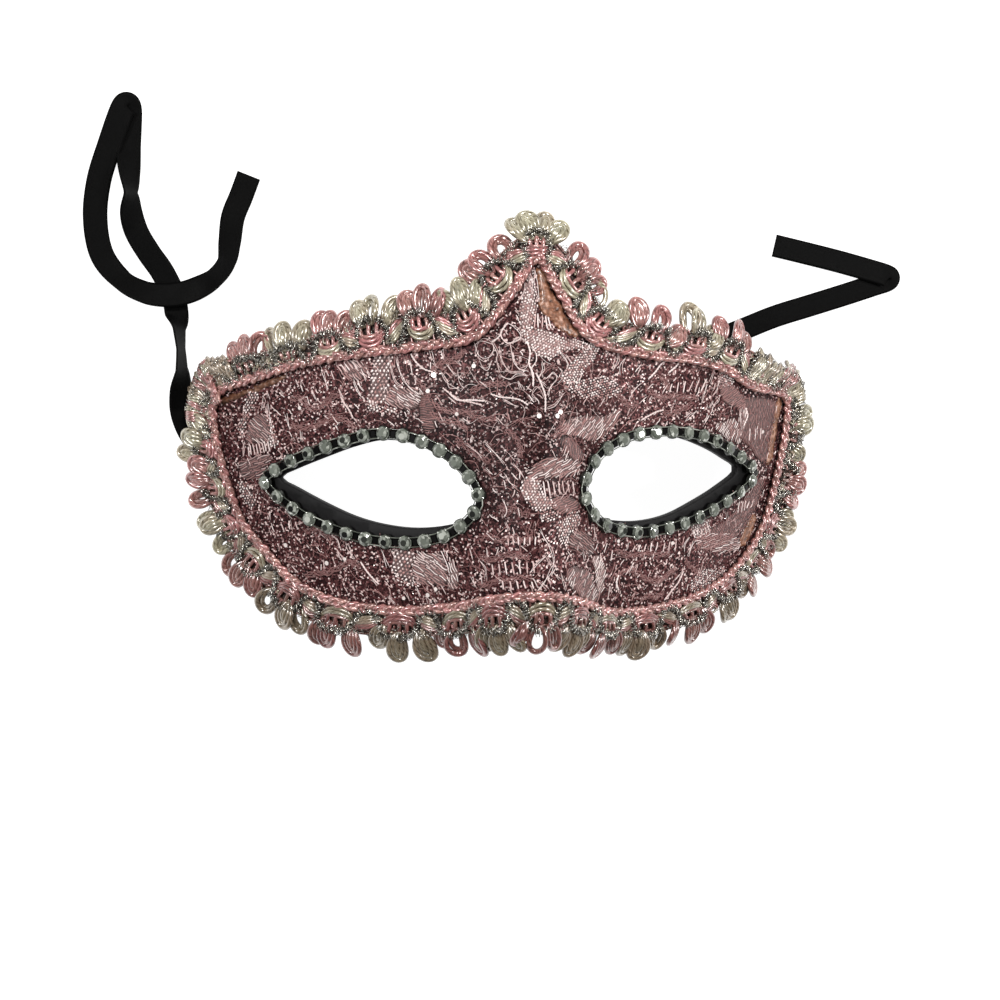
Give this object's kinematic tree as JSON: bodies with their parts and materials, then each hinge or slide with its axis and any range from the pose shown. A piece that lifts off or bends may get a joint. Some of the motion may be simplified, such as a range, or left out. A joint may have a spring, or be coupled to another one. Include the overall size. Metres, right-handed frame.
{
  "type": "masquerade mask",
  "caption": "Curved half mask with eye openings, covered in glitter and lace and edged with looped braid, with stone trim round the eyes and ribbon ties.",
  "frame": {"origin": "on the surface that the mask lies on, under the middle of the mask's own box, without its ties", "axes": "+X across the face towards the viewer's right, +Y up the face towards the crest, +Z out of the face"},
  "size_m": [0.231, 0.1468, 0.0616],
  "materials": {
    "base": "black painted papier-mache, matt, with silver and plum glitter under the lace",
    "lace": "dusty pink net lace over dark plum glitter",
    "braid": "pink and cream satin cord braid with silver metal thread",
    "stones": "grey cut glass stones with small clear beads between them",
    "ribbon": "black satin"
  },
  "bodies": {
    "root": {"mask_base": "base", "lace_cover": "lace", "braid_trim": "braid", "stone_trim_left": "stones", "stone_trim_right": "stones", "tie_left": "ribbon", "tie_right": "ribbon"}
  },
  "joints": []
}
